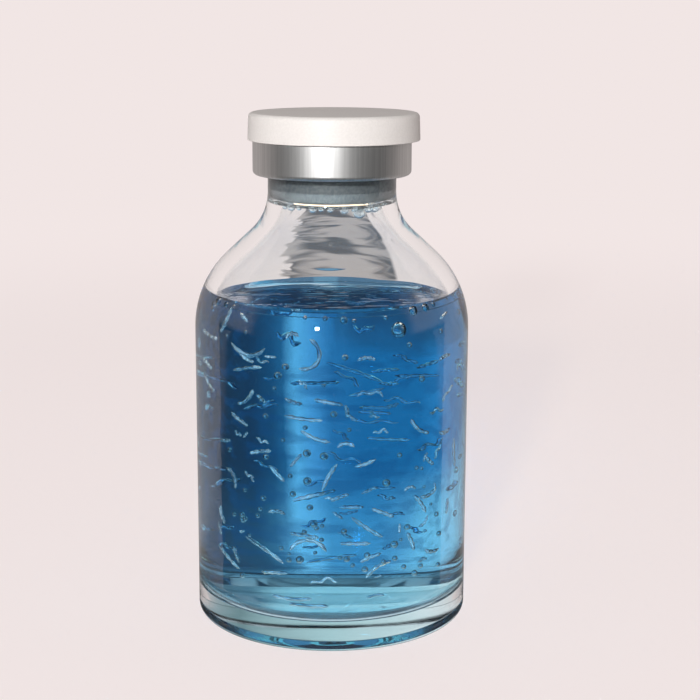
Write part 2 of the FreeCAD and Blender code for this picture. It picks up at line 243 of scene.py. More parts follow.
# Bubbles too small for the solid: a row along the gel's surface, and some lower down
SURFACE_BUBBLES = [
    (-62.0, 0.75, 43.1, 0.9),
    (-55.0, 0.70, 43.0, 0.7),
    (-66.0, 0.70, 42.6, 0.6),
    (-50.0, 1.00, 42.9, 0.5),
    (39.0, 0.80, 42.9, 1.2),
    (46.5, 0.80, 43.0, 1.0),
    (52.0, 0.70, 43.2, 0.5),
    (-3.0, 1.20, 42.5, 0.6),
    (-12.0, 1.00, 42.6, 0.5),
    (10.0, 1.10, 42.2, 0.5),
    (77.0, 1.20, 41.0, 0.7),
    (27.0, 2.50, 42.0, 0.6),
    (-43.0, 1.50, 40.1, 0.5),
    (-57.5, 2.00, 39.1, 0.5),
    (59.5, 1.60, 39.6, 0.6),
    (-29.0, 2.50, 33.4, 0.5),
    (-13.0, 2.50, 28.7, 0.6),
    (5.7, 1.20, 15.6, 0.7),
    (-4.7, 1.50, 14.4, 0.6),
    (-21.5, 2.50, 11.2, 0.7),
    (16.2, 2.00, 10.2, 0.8),
    (-37.7, 2.50, 17.4, 0.6),
    (-41.0, 1.20, 13.9, 0.5),
]

# Threads too fine for the solid, from the photograph
FINE_THREADS = [
    (-31.0, 2.5, 37.4, 1.6, 0, 10),
    (-45.0, 2.0, 26.9, 1.1, 47, 0),
    (-63.5, 1.6, 13.4, 1.7, -72, 0),
    (23.0, 3.0, 6.1, 2.2, 3, -45),
    (62.0, 1.5, 41.3, 1.9, 16, 0),
    (10.0, 2.5, 30.0, 1.8, -38, 0),
    (-17.8, 2.5, 24.4, 2.3, 52, 0),
    (50.5, 2.0, 23.7, 1.3, 60, -60),
    (74.0, 1.2, 34.4, 1.1, -80, 0),
    (41.0, 2.2, 19.8, 1.9, 0, -110),
    (49.8, 2.2, 15.2, 2.0, -140, -85),
    (56.8, 1.8, 19.4, 1.2, -80, 0),
    (3.0, 2.5, 17.4, 1.5, -38, 0),
    (35.5, 2.5, 14.9, 1.2, -90, 0),
    (25.0, 3.4, 8.7, 1.0, 8, 0),
    (-48.0, 2.0, 13.9, 0.9, 20, 0),
]

# Fine threads and bubbles that are only strewn, each clear of the others. One thread in a few is in
# front. The spans are of degrees and millimetres
STREWN_SEED = 5
STREWN_THREADS = 120
STREWN_BUBBLES = 60
STREWN_CLEARANCE = 0.95
STREWN_WIDTH = 0.42
STREWN_FRONT_EVERY = 5
STREWN_FRONT = (-70, 75)
STREWN_BACK = (105, 255)
STREWN_DEPTH = (1.6, 4.2)
STREWN_HEIGHT = (6.5, 39)
STREWN_LENGTH = (1.2, 4.0)
STREWN_RISE = 28
STREWN_BEND = (-70, 70)
STREWN_WRIGGLE = (20, 60)
STREWN_BUBBLE_BEARING = (-55, 65)
STREWN_BUBBLE_DEPTH = (1.2, 4.0)
STREWN_BUBBLE_HEIGHT = (5, 36, 12)
STREWN_BUBBLE_SIZE = (0.4, 0.8)

# Foam under the stopper. The beads in front are bearing, radius and how far down they hang, and the
# others are strewn round the back
FOAM_COUNT = 30
FOAM_SEED = 4
FOAM_START = 90
FOAM_SWEEP = 200
FOAM_JITTER = (-0.4, 0.4)
FOAM_HANG = (0.1, 0.8)
FOAM_DETAIL = 2
FOAM_SMALL = 0.22 * MM
FOAM_LARGE = 0.6 * MM
FOAM_BEADS = [
    (-52.0, 0.45, 0.3),
    (-38.0, 0.30, 0.2),
    (-22.0, 0.50, 0.3),
    (-12.0, 0.35, 0.2),
    (-2.0, 0.40, 0.3),
    (14.0, 0.55, 0.4),
    (25.0, 0.40, 0.2),
    (33.0, 0.80, 0.9),
    (46.0, 0.60, 0.3),
    (57.0, 0.55, 0.5),
    (68.0, 0.50, 0.2),
]
FOAM_SHELL = 0.78
FILM_HEIGHT = 0.5 * MM
FILM_STEPS = 8

# Unevenness of the glass inside the shoulder
WAVE_DEPTH = 0.16 * MM
WAVE_AROUND = 110.0
WAVE_UPRIGHT = 330.0
WAVE_LOW_Z = 46.5 * MM
WAVE_HIGH_Z = 55.0 * MM

POCKET_MARK = "air_pocket"
ROUND_SEGMENTS = 192
ARC_STEP = math.radians(5.0)
SHARP_ANGLE = math.radians(32.0)
ON_AXIS = 1e-7


# Shapes

def outline(corners):
    """The points of a section from corners (r, z) or (r, z, radius), each rounded by its radius."""
    sharp = [Vector(corner[:2]) for corner in corners]
    points = []
    for i, corner in enumerate(corners):
        here = sharp[i]
        if len(corner) == 2:
            points.append(here)
            continue
        before = (sharp[i - 1] - here).normalized()
        after = (sharp[i + 1] - here).normalized()
        half = before.angle(after) / 2
        radius = corner[2]
        centre = here + (before + after).normalized() * (radius / math.sin(half))
        start = here + before * (radius / math.tan(half)) - centre
        turn = before.angle_signed(-after)
        steps = max(2, math.ceil(abs(turn) / ARC_STEP))
        for k in range(steps + 1):
            swing = Matrix.Rotation(-turn * k / steps, 2)
            points.append(centre + swing @ start)
    return points


def turned(bm, points):
    """Turns a section about the vial's axis into one closed skin. It runs from axis to axis, or is a
    loop that stays clear of the axis."""
    rings = []
    for point in points:
        if point.x < ON_AXIS:
            rings.append([bm.verts.new((0, 0, point.y))])
            continue
        circle = []
        for i in range(ROUND_SEGMENTS):
            a = 2 * math.pi * i / ROUND_SEGMENTS
            circle.append(bm.verts.new((point.x * math.cos(a), point.x * math.sin(a), point.y)))
        rings.append(circle)
    if len(rings[0]) > 1:
        rings.append(rings[0])
    for low, high in zip(rings, rings[1:]):
        for i in range(ROUND_SEGMENTS):
            j = (i + 1) % ROUND_SEGMENTS
            if len(low) == 1:
                bm.faces.new((low[0], high[j], high[i]))
            elif len(high) == 1:
                bm.faces.new((low[i], low[j], high[0]))
            else:
                bm.faces.new((low[i], low[j], high[j], high[i]))
    return rings


def spokes(bm, count, width, start, end, low, high):
    """Bars that run out from the axis, evenly spaced."""
    for i in range(count):
        turn = Matrix.Rotation(2 * math.pi * i / count, 4, "Z")
        size = Matrix.Diagonal((end - start, width, high - low, 1))
        middle = Matrix.Translation(((start + end) / 2, 0, (low + high) / 2))
        bmesh.ops.create_cube(bm, size=1, matrix=turn @ middle @ size)


def hollow(bm, air):
    """Puts the skins of air pockets into a skin, turned inside out."""
    bmesh.ops.recalc_face_normals(air, faces=air.faces)
    bmesh.ops.reverse_faces(air, faces=air.faces)
    pockets = bpy.data.meshes.new("air")
    air.to_mesh(pockets)
    air.free()
    bm.from_mesh(pockets)
    bpy.data.meshes.remove(pockets)


def piece(name, bm, material, slot, *nodes):
    """A finished piece of the vial from its skin, which stands for the named nodes."""
    mesh = bpy.data.meshes.new(name)
    bm.to_mesh(mesh)
    bm.free()
    mesh.polygons.foreach_set("use_smooth", [True] * len(mesh.polygons))
    mesh.set_sharp_from_angle(angle=SHARP_ANGLE)
    mesh.materials.append(material)
    thing = bpy.data.objects.new(name, mesh)
    bpy.context.scene.collection.objects.link(thing)
    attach(thing, "root")
    if nodes:
        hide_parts(*nodes)


def inner_wall():
    """The cavity's wall from the middle of its floor to the bore."""
    return [
        (0, FLOOR_THICKNESS),
        (INNER_R, FLOOR_THICKNESS, FLOOR_CORNER),
        (INNER_R, INNER_SHOULDER_Z, SHOULDER_RADIUS - WALL),
        (BORE_R, INNER_FLARE_Z, FLARE_RADIUS + NECK_R - BORE_R),
    ]


def glass_skin():
    """The moulded bottle: domed base on its bearing ring, barrel, shoulder, neck and lip."""
    ring_inner = BODY_R - HEEL_RADIUS - BEARING_RING_WIDTH
    bm = bmesh.new()
    rings = turned(bm, outline([
        (0, PUSH_UP),
        (ring_inner - PUSH_UP_EDGE, PUSH_UP, PUSH_UP_CORNER),
        (ring_inner, 0, PUSH_UP_CORNER),
        (BODY_R, 0, HEEL_RADIUS),
        (BODY_R, SHOULDER_CORNER_Z, SHOULDER_RADIUS),
        (NECK_R, FLARE_CORNER_Z, FLARE_RADIUS),
        (NECK_R, LIP_Z, NECK_FILLET),
        (LIP_R, LIP_Z, LIP_EDGE),
        (LIP_R, GLASS_HEIGHT, LIP_EDGE),
        (BORE_R, GLASS_HEIGHT, MOUTH_EDGE),
        *reversed(inner_wall()),
    ]))
    rim = max(range(len(rings)), key=lambda i: rings[i][0].co.z)
    for circle in rings[rim:]:
        for v in circle:
            share = (v.co.z - WAVE_LOW_Z) / (WAVE_HIGH_Z - WAVE_LOW_Z)
            if 0 < share < 1:
                spot = Vector((v.co.x * WAVE_AROUND, v.co.y * WAVE_AROUND, v.co.z * WAVE_UPRIGHT))
                swell = WAVE_DEPTH * noise.noise(spot) * math.sin(math.pi * share)
                v.co += Vector((v.co.x, v.co.y, 0)).normalized() * swell
    return bm


def cavity():
    """The rounded section of the cavity, up to the lip."""
    return outline([*inner_wall(), (BORE_R, LIP_Z)])


def cavity_radius(height):
    """The cavity's radius at a height in the shoulder or the neck."""
    wall = [p for p in cavity() if p.y > FLOOR_THICKNESS + FLOOR_CORNER]
    for low, high in zip(wall, wall[1:]):
        if low.y <= height <= high.y:
            return low.x + (high.x - low.x) * (height - low.y) / (high.y - low.y)
    return BORE_R


def gel_section():
    """The fill's section: the cavity's wall, lapped into the glass, and the level with its meniscus."""
    wall = [Vector((p.x + GEL_LAP * min(1.0, p.x / INNER_R), p.y)) for p in cavity()]
    for p in wall:
        if p.y < FLOOR_THICKNESS + FLOOR_CORNER / 2:
            p.y -= GEL_LAP
    level_r = INNER_R - MENISCUS_WIDTH
    slope = math.tan(MENISCUS_ANGLE)
    surface = outline([
        (BODY_R, GEL_LEVEL + (BODY_R - level_r) * slope),
        (level_r, GEL_LEVEL, MENISCUS_RADIUS),
        (0, GEL_LEVEL),
    ])
    below = []
    for p in wall:
        if p.y > GEL_LEVEL + (p.x - level_r) * slope:
            break
        below.append(p)
    last, over = below[-1], wall[len(below)]
    climb = (over.y - last.y) / (over.x - last.x) if over.x != last.x else math.inf
    if math.isinf(climb):
        top_x = last.x
    else:
        top_x = (last.y - GEL_LEVEL + level_r * slope - climb * last.x) / (slope - climb)
    top = Vector((top_x, GEL_LEVEL + (top_x - level_r) * slope))
    return [*below, top, *surface[1:]]


def thread_spine(bearing, depth, height, length, rise, bend, wriggle=0):
    """The line of a bent thread, level with the wall at its bearing, and how it climbs."""
    rises = []
    for i in range(THREAD_RINGS + 1):
        swing = wriggle * math.sin(i * WRIGGLE_STEP + height)
        rises.append(math.radians(rise + bend * (i / THREAD_RINGS - 0.5) + swing))
    spine = [Vector((0, 0, 0))]
    for before, after in zip(rises, rises[1:]):
        climb = (before + after) / 2
        spine.append(spine[-1] + Vector((math.cos(climb), 0, math.sin(climb))) * (length / THREAD_RINGS))
    shift = (spine[0] + spine[-1]) / 2
    place = Matrix.Rotation(math.radians(bearing), 4, "Z") @ Matrix.Translation(
        (0, depth * MM - INNER_R, height * MM))
    return place, [point - shift for point in spine], rises


def thread_skin(bm, bearing, depth, height, length, rise, bend, wriggle=0, width=THREAD_WIDTH):
    """A bent rod of air with round ends."""
    place, spine, rises = thread_spine(bearing, depth, height, length, rise, bend, wriggle)
    rings = len(spine) - 1
    loops = []
    for i, middle in enumerate(spine):
        end = min(i, rings - i) / rings * length / width
        fat = math.sqrt(max(0.0, 1 - (1 - min(1.0, end * THREAD_TAPER + THREAD_TIP)) ** 2))
        fat *= 1 - THREAD_SWELL + THREAD_SWELL * math.sin(i * SWELL_STEP + bearing + height)
        across = Vector((-math.sin(rises[i]), 0, math.cos(rises[i])))
        loop = []
        for k in range(THREAD_SIDES):
            turn = 2 * math.pi * k / THREAD_SIDES
            out = across * math.cos(turn) + Vector((0, 1, 0)) * math.sin(turn)
            loop.append(bm.verts.new(place @ ((middle + out * (fat * width / 2)) * MM)))
        loops.append(loop)
    for low, high in zip(loops, loops[1:]):
        for k in range(THREAD_SIDES):
            m = (k + 1) % THREAD_SIDES
            bm.faces.new((low[k], low[m], high[m], high[k]))
    bm.faces.new(loops[0])
    bm.faces.new(reversed(loops[-1]))


def around(bearing, r, z):
    """A place at a bearing, a radius and a height."""
    a = math.radians(bearing)
    return Vector((r * math.sin(a), -r * math.cos(a), z))


def bubble_place(bearing, depth, height):
    """Where a bubble's middle is."""
    return around(bearing, INNER_R - depth * MM, height * MM)


def bubble_skin(bm, bearing, depth, height, diameter):
    """A round bubble of air."""
    spot = Matrix.Translation(bubble_place(bearing, depth, height))
    bmesh.ops.create_icosphere(bm, subdivisions=BUBBLE_DETAIL, radius=diameter * MM / 2, matrix=spot)


def thread_points(row):
    """The places along a thread."""
    place, spine, rises = thread_spine(*row)
    return [place @ (point * MM) for point in spine]


def strewn_pockets():
    """More fine threads, most of them at the back, and fine bubbles low in the gel, each clear of every
    other pocket."""
    pick = random.Random(STREWN_SEED)
    taken = [point for row in THREADS + FINE_THREADS for point in thread_points(row)]
    taken += [bubble_place(*row[:3]) for row in BUBBLES + SURFACE_BUBBLES]
    threads, bubbles = [], []

    def keep(kept, row, points):
        """Keeps a pocket whose points are clear of all that are taken."""
        if all((p - q).length > STREWN_CLEARANCE * MM for p in points for q in taken):
            taken.extend(points)
            kept.append(row)

    for i in range(STREWN_THREADS):
        bearings = STREWN_BACK if i % STREWN_FRONT_EVERY else STREWN_FRONT
        row = (pick.uniform(*bearings), pick.uniform(*STREWN_DEPTH), pick.uniform(*STREWN_HEIGHT),
               pick.uniform(*STREWN_LENGTH), pick.gauss(0, STREWN_RISE), pick.uniform(*STREWN_BEND),
               pick.uniform(*STREWN_WRIGGLE))
        keep(threads, row, thread_points(row))
    for i in range(STREWN_BUBBLES):
        row = (pick.uniform(*STREWN_BUBBLE_BEARING), pick.uniform(*STREWN_BUBBLE_DEPTH),
               pick.triangular(*STREWN_BUBBLE_HEIGHT), pick.uniform(*STREWN_BUBBLE_SIZE))
        keep(bubbles, row, [bubble_place(*row[:3])])
    return threads, bubbles


def gel_skin():
    """The fill's skin, with the skins of the air pockets within it, and the threads among them marked."""
    bm = bmesh.new()
    bm.verts.layers.float.new(POCKET_MARK)
    turned(bm, gel_section())
    bmesh.ops.recalc_face_normals(bm, faces=bm.faces)
    air = bmesh.new()
    mark = air.verts.layers.float.new(POCKET_MARK)
    strewn_threads, strewn_bubbles = strewn_pockets()
    for thread in THREADS:
        thread_skin(air, *thread)
    for thread in FINE_THREADS + strewn_threads:
        thread_skin(air, *thread, width=STREWN_WIDTH)
    for v in air.verts:
        v[mark] = 1.0
    for bubble in BUBBLES + SURFACE_BUBBLES + strewn_bubbles:
        bubble_skin(air, *bubble)
    hollow(bm, air)
    return bm


def stopper_skin():
    """The stopper: a flange on the lip and a plug with a sealing band, a tapered tip and a hollow."""
    flange_r = LIP_R - STOPPER_SETBACK
    tip_z = GLASS_HEIGHT - PLUG_LENGTH
    bm = bmesh.new()
    turned(bm, outline([
        (0, STOPPER_TOP_Z - TARGET_DEPTH),
        (TARGET_R, STOPPER_TOP_Z - TARGET_DEPTH),
        (TARGET_R, STOPPER_TOP_Z),
        (flange_r, STOPPER_TOP_Z, STOPPER_EDGE),
        (flange_r, GLASS_HEIGHT, STOPPER_EDGE),
        (BORE_R + PLUG_SQUEEZE, GLASS_HEIGHT),
        (BORE_R + PLUG_SQUEEZE, GLASS_HEIGHT - PLUG_BAND_LENGTH),
        (PLUG_TIP_R, tip_z, PLUG_TIP_EDGE),
        (PLUG_HOLLOW_R, tip_z, STOPPER_EDGE),
        (PLUG_HOLLOW_R, tip_z + PLUG_HOLLOW_DEPTH, PLUG_HOLLOW_CORNER),
        (0, tip_z + PLUG_HOLLOW_DEPTH),
    ]))
    bmesh.ops.recalc_face_normals(bm, faces=bm.faces)
    return bm


def foam_skin():
    """The wet film between the stopper's tip and the glass, and beads of gel foam that hang in a ring
    below it."""
    pick = random.Random(FOAM_SEED)
    tip_z = GLASS_HEIGHT - PLUG_LENGTH
    bm = bmesh.new()
    air = bmesh.new()
    beads = [(bearing, size * MM, low) for bearing, size, low in FOAM_BEADS]
    for i in range(FOAM_COUNT):
        size = FOAM_SMALL + (FOAM_LARGE - FOAM_SMALL) * pick.random() ** 2
        bearing = FOAM_START + (i + pick.uniform(*FOAM_JITTER)) * FOAM_SWEEP / FOAM_COUNT
        beads.append((bearing, size, pick.uniform(*FOAM_HANG)))
    for bearing, size, low in beads:
        z = tip_z - FILM_HEIGHT - size * low
        spot = Matrix.Translation(around(bearing, cavity_radius(z) - size, z))
        bmesh.ops.create_icosphere(bm, subdivisions=FOAM_DETAIL, radius=size, matrix=spot)
        bmesh.ops.create_icosphere(air, subdivisions=FOAM_DETAIL, radius=size * FOAM_SHELL, matrix=spot)
    band_z = GLASS_HEIGHT - PLUG_BAND_LENGTH
    film = [Vector((PLUG_TIP_R - PLUG_TIP_EDGE, tip_z - FILM_HEIGHT / 2))]
    for i in range(FILM_STEPS + 1):
        z = tip_z - FILM_HEIGHT + (band_z - tip_z + FILM_HEIGHT) * i / FILM_STEPS
        film.append(Vector((cavity_radius(z) + GEL_LAP, z)))
    film.append(Vector((PLUG_TIP_R - PLUG_TIP_EDGE, band_z)))
    turned(bm, film)
    bmesh.ops.recalc_face_normals(bm, faces=bm.faces)
    hollow(bm, air)
    return bm


def seal_skin():
    """The aluminium seal: top plate with its tear-out disc, skirt and the roll under the lip."""
    inside = SEAL_R - SEAL_WALL
    roll_end = SEAL_R - ROLL_WIDTH
    slot_end = SLOT_R + SLOT_WIDTH
    bm = bmesh.new()
    turned(bm, outline([
        (slot_end, SEAL_TOP_Z),
        (SEAL_R, SEAL_TOP_Z, SEAL_BEND),
        (SEAL_R, ROLL_Z, ROLL_RADIUS),
        (roll_end, ROLL_Z),
        (roll_end, LIP_Z),
        (inside, LIP_Z, ROLL_RADIUS - SEAL_WALL),
        (inside, STOPPER_TOP_Z, SEAL_BEND - SEAL_WALL),
        (slot_end, STOPPER_TOP_Z),
    ]))
    hole_r = RIVET_R + RIVET_CLEARANCE
    rings = turned(bm, outline([
        (hole_r, STOPPER_TOP_Z),
        (hole_r, SEAL_TOP_Z),
        (SLOT_R, SEAL_TOP_Z),
        (SLOT_R, STOPPER_TOP_Z),
    ]))
    bmesh.ops.translate(bm, verts=[*rings[0], *rings[1]], vec=(CAP_X, 0, 0))
    spokes(bm, BRIDGE_COUNT, BRIDGE_WIDTH, SLOT_R, slot_end, STOPPER_TOP_Z, SEAL_TOP_Z)
    bmesh.ops.recalc_face_normals(bm, faces=bm.faces)
    return bm


def cap_skin():
    """The plastic cap: a plate with a skirting rim, a pocket below and the rivet that holds it."""
    top_r = CAP_R - (CAP_TOP_Z - CAP_LOW_Z) * math.tan(CAP_DRAFT)
    pocket_z = SEAL_TOP_Z + CAP_POCKET_DEPTH
    bm = bmesh.new()
    turned(bm, outline([
        (0, CAP_TOP_Z),
        (top_r, CAP_TOP_Z, CAP_EDGE),
        (CAP_R, CAP_LOW_Z, CAP_LOWER_EDGE),
        (CAP_INNER_R, CAP_LOW_Z, CAP_LOWER_EDGE),
        (CAP_INNER_R, SEAL_TOP_Z),
        (CAP_LAND_R, SEAL_TOP_Z),
        (CAP_LAND_R, pocket_z),
        (CAP_BOSS_R, pocket_z),
        (CAP_BOSS_R, SEAL_TOP_Z),
        (RIVET_R, SEAL_TOP_Z),
        (RIVET_R, STOPPER_TOP_Z),
        (RIVET_HEAD_R, STOPPER_TOP_Z),
        (RIVET_HEAD_R, STOPPER_TOP_Z - RIVET_HEAD_HEIGHT, RIVET_HEAD_HEIGHT / 2),
        (0, STOPPER_TOP_Z - RIVET_HEAD_HEIGHT),
    ]))
    spokes(bm, CAP_RIB_COUNT, CAP_RIB_WIDTH, CAP_BOSS_R, CAP_LAND_R, SEAL_TOP_Z, pocket_z)
    bmesh.ops.recalc_face_normals(bm, faces=bm.faces)
    bmesh.ops.translate(bm, verts=bm.verts, vec=(CAP_X, 0, 0))
    return bm


# Materials

# What each Principled shader is given
GLASS_LOOK = {"Base Color": (0.985, 1.0, 0.995), "Roughness": 0.0, "IOR": 1.5, "Transmission Weight": 1.0}
GEL_LOOK = {"Base Color": (1, 1, 1), "Roughness": 0.0, "IOR": 1.36, "Transmission Weight": 1.0}
FOAM_LOOK = {"Base Color": (0.90, 0.94, 0.96), "Roughness": 0.02, "IOR": 1.36, "Transmission Weight": 0.95}
RUBBER_LOOK = {"Roughness": 0.5}
ALUMINIUM_LOOK = {"Metallic": 1.0}
PLASTIC_LOOK = {"Roughness": 0.45, "Subsurface Weight": 0.15, "Subsurface Radius": (1, 1, 1),
                "Subsurface Scale": 0.6 * MM}
FLOOR_LOOK = {"Base Color": (0.86, 0.81, 0.80), "Roughness": 0.9, "Specular IOR Level": 0.1}
GEL_DYE = {"Color": (0.02, 0.585, 0.79), "Density": 82.0}

# What the group of ripples is given for each surface. Without strength, only its height is used
GLASS_WAVES = {"Scale": (90, 90, 160), "Detail": 1.0, "Strength": 0.5, "Distance": 0.12 * MM}
GEL_WAVES = {"Scale": (150, 260, 100), "Detail": 2.0, "Strength": 0.6, "Distance": 0.5 * MM}
FOAM_WAVES = {"Scale": (900, 900, 900), "Detail": 2.0, "Strength": 0.3, "Distance": 0.05 * MM}
RUBBER_GRAIN = {"Scale": (2600, 2600, 2600), "Detail": 2.0, "Strength": 0.3, "Distance": 0.04 * MM}
ALUMINIUM_MARKS = {"Scale": (3200, 3200, 60), "Detail": 4.0, "Strength": 0.14, "Distance": 0.03 * MM}
PLASTIC_GRAIN = {"Scale": (3600, 3600, 3600), "Detail": 3.0, "Strength": 0.12, "Distance": 0.03 * MM}
CARD_STREAKS = {"Scale": (70, 70, 420), "Detail": 2.0, "Strength": 0.0}
CARD_CLOUDS = {"Scale": (190, 190, 420), "Detail": 2.0, "Strength": 0.0}
SHADE_STREAKS = {"Scale": (160, 160, 500), "Detail": 2.0, "Strength": 0.0}
NOISE_MIDDLE = 0.5

GLASS_SHADOW = (0.95, 0.97, 0.97)
GEL_SHADOW = (0.35, 0.66, 0.84)
GEL_SURFACE_SPAN = (GEL_LEVEL - 0.1 * MM, GEL_LEVEL - 0.02 * MM)
RUBBER_DARK = (0.08, 0.095, 0.105)
RUBBER_PALE = (0.125, 0.14, 0.15)
ALUMINIUM_DARK = (0.72, 0.71, 0.70)
ALUMINIUM_PALE = (0.84, 0.83, 0.82)
ALUMINIUM_ROUGHNESS = {"To Min": 0.50, "To Max": 0.42}
PLASTIC_DARK = (0.82, 0.79, 0.76)
PLASTIC_PALE = (0.86, 0.83, 0.80)
GRAIN_SPAN = (0.3, 0.7)
POCKET_HAZE = 0.03
POCKET_HAZE_MORE = 0.13
POCKET_HAZE_COLOUR = (0.85, 0.9, 0.95)
POCKET_PATCH_SCALE = 500.0
POCKET_PATCH_SPAN = (0.35, 0.65)


class Graph:
    """The nodes of a material, a world or a group, with short ways to add to them."""

    def __init__(self, tree):
        self.nodes = tree.nodes
        self.links = tree.links

    def put(self, socket, source):
        """Gives a socket a value, or a link from another socket."""
        if isinstance(source, bpy.types.NodeSocket):
            self.links.new(source, socket)
        elif socket.type == "RGBA":
            socket.default_value = (*source, 1)
        else:
            socket.default_value = source

    def add(self, kind, given=None, **settings):
        """A node with its settings, and with a value or a link for each input that is given."""
        node = self.nodes.new("ShaderNode" + kind)
        for name, setting in settings.items():
            setattr(node, name, setting)
        for name, source in (given or {}).items():
            self.put(node.inputs[name], source)
        return node

    def math(self, operation, first, second):
        """Two values through one operation."""
        node = self.add("Math", operation=operation)
        self.put(node.inputs[0], first)
        self.put(node.inputs[1], second)
        return node.outputs[0]

    def product(self, first, *others):
        """The product of values."""
        for other in others:
            first = self.math("MULTIPLY", first, other)
        return first

    def above(self, source, limit):
        """1 where a value is above a limit, else 0."""
        return self.math("GREATER_THAN", source, limit)

    def below(self, source, limit):
        """1 where a value is below a limit, else 0."""
        return self.math("LESS_THAN", source, limit)

    def mask(self, source, low, high):
        """A mask that climbs smoothly from 0 at low to 1 at high."""
        given = {"Value": source, "From Min": low, "From Max": high}
        return self.add("MapRange", given, interpolation_type="SMOOTHSTEP").outputs["Result"]

    def blend(self, factor, under, over):
        """A colour over another by a mask. Each is a colour or a socket."""
        given = {"Factor": factor, "A": under, "B": over}
        return self.add("Mix", given, data_type="RGBA").outputs["Result"]

    def ramp(self, source, reach, stops):
        """A colour that runs through stops (place, colour) between -reach and reach."""
        span = self.add("MapRange", {"Value": source, "From Min": -reach, "From Max": reach})
        node = self.add("ValToRGB", {"Fac": span.outputs["Result"]})
        bands = node.color_ramp.elements
        places = [(place + reach) / (2 * reach) for place, colour in stops]
        bands[0].position, bands[1].position = places[0], places[-1]
        for place in places[1:-1]:
            bands.new(place)
        for element, (place, colour) in zip(bands, stops):
            element.color = (*colour, 1)
        return node.outputs["Color"]

    def ripples(self, waves, **more):
        """The shared group of ripples with its own values: the bumped normal and the height."""
        return self.add("Group", {**waves, **more}, node_tree=RIPPLES).outputs

    def parts(self, place):
        """The X, Y and Z of a place."""
        return self.add("SeparateXYZ", {"Vector": place}).outputs

    def glow(self, colour):
        """A shader that shows a colour as it is."""
        return self.add("Emission", {"Color": colour}).outputs[0]

    def clear(self, tint=(1, 1, 1)):
        """A shader that lets all through, by its tint."""
        return self.add("BsdfTransparent", {"Color": tint}).outputs[0]

    def mixed(self, share, under, over):
        """A shader over another by a mask."""
        node = self.add("MixShader")
        for socket, source in zip(node.inputs, (share, under, over)):
            self.put(socket, source)
        return node.outputs[0]

    def lit_through(self, shader, tint):
        """Clear matter, whose shadow has only its own tint."""
        return self.mixed(self.add("LightPath").outputs["Is Shadow Ray"], shader, self.clear(tint))


def ripple_group():
    """Noise over an object, stretched along its axes, and the normal that it bumps. Share eases it."""
    tree = bpy.data.node_groups.new("ripples", "ShaderNodeTree")
    tree.interface.new_socket("Scale", in_out="INPUT", socket_type="NodeSocketVector")
    for name in ("Detail", "Strength", "Distance", "Share"):
        tree.interface.new_socket(name, in_out="INPUT", socket_type="NodeSocketFloat").default_value = 1.0
    tree.interface.new_socket("Normal", in_out="OUTPUT", socket_type="NodeSocketVector")
    tree.interface.new_socket("Height", in_out="OUTPUT", socket_type="NodeSocketFloat")
    graph = Graph(tree)
    given = graph.nodes.new("NodeGroupInput").outputs
    result = graph.nodes.new("NodeGroupOutput").inputs
    place = graph.add("TexCoord").outputs["Object"]
    stretched = graph.add("Mapping", {"Vector": place, "Scale": given["Scale"]}).outputs[0]
    noise_given = {"Vector": stretched, "Scale": 1.0, "Detail": given["Detail"]}
    height = graph.add("TexNoise", noise_given).outputs["Fac"]
    bump = graph.add("Bump", {
        "Strength": given["Strength"],
        "Distance": given["Distance"],
        "Height": graph.product(height, given["Share"]),
    })
    graph.put(result["Normal"], bump.outputs["Normal"])
    graph.put(result["Height"], height)
    return tree


RIPPLES = ripple_group()


def new_material(name):
    """A material, a graph of its nodes, and the inputs of its output."""
    material = bpy.data.materials.new(name)
    material.use_nodes = True
    graph = Graph(material.node_tree)
    graph.nodes.clear()
    return material, graph, graph.add("OutputMaterial").inputs


def clear_material(name, look, waves):
    """Clear matter with no tint of its own and a faint waviness."""
    material, graph, output = new_material(name)
    shader = graph.add("BsdfPrincipled", {**look, "Normal": graph.ripples(waves)["Normal"]})
    graph.put(output["Surface"], graph.lit_through(shader.outputs[0], GLASS_SHADOW))
    return material


def grained_material(name, look, waves, dark, pale, roughness=None):
    """Matter whose grain shows in its colour and its skin, and in its roughness where that is given."""
    material, graph, output = new_material(name)
    grain = graph.ripples(waves)
    colour = graph.blend(graph.mask(grain["Height"], *GRAIN_SPAN), dark, pale)
    shader = graph.add("BsdfPrincipled", {**look, "Base Color": colour, "Normal": grain["Normal"]})
    if roughness:
        rough = graph.add("MapRange", {"Value": grain["Height"], **roughness})
        graph.put(shader.inputs["Roughness"], rough.outputs["Result"])
    graph.put(output["Surface"], shader.outputs[0])
    return material


def gel_material():
    """Clear blue gel, rippled at its surface. The skins of its threads of air are a little hazy."""
    material, graph, output = new_material("blue_gel")
    place = graph.add("TexCoord").outputs["Object"]
    surface = graph.mask(graph.parts(place)["Z"], *GEL_SURFACE_SPAN)
    normal = graph.ripples(GEL_WAVES, Share=surface)["Normal"]
    shader = graph.add("BsdfPrincipled", {**GEL_LOOK, "Normal": normal}).outputs[0]
    haze = graph.add("BsdfDiffuse", {"Color": POCKET_HAZE_COLOUR}).outputs[0]
    pocket = graph.add("Attribute", attribute_name=POCKET_MARK).outputs["Fac"]
    patches = graph.add("TexNoise", {"Vector": place, "Scale": POCKET_PATCH_SCALE}).outputs["Fac"]
    share = graph.product(graph.mask(patches, *POCKET_PATCH_SPAN), POCKET_HAZE_MORE)
    share = graph.product(graph.math("ADD", share, POCKET_HAZE), pocket)
    skin = graph.mixed(share, shader, haze)
    graph.put(output["Surface"], graph.lit_through(skin, GEL_SHADOW))
    graph.put(output["Volume"], graph.add("VolumeAbsorption", GEL_DYE).outputs[0])
    return material


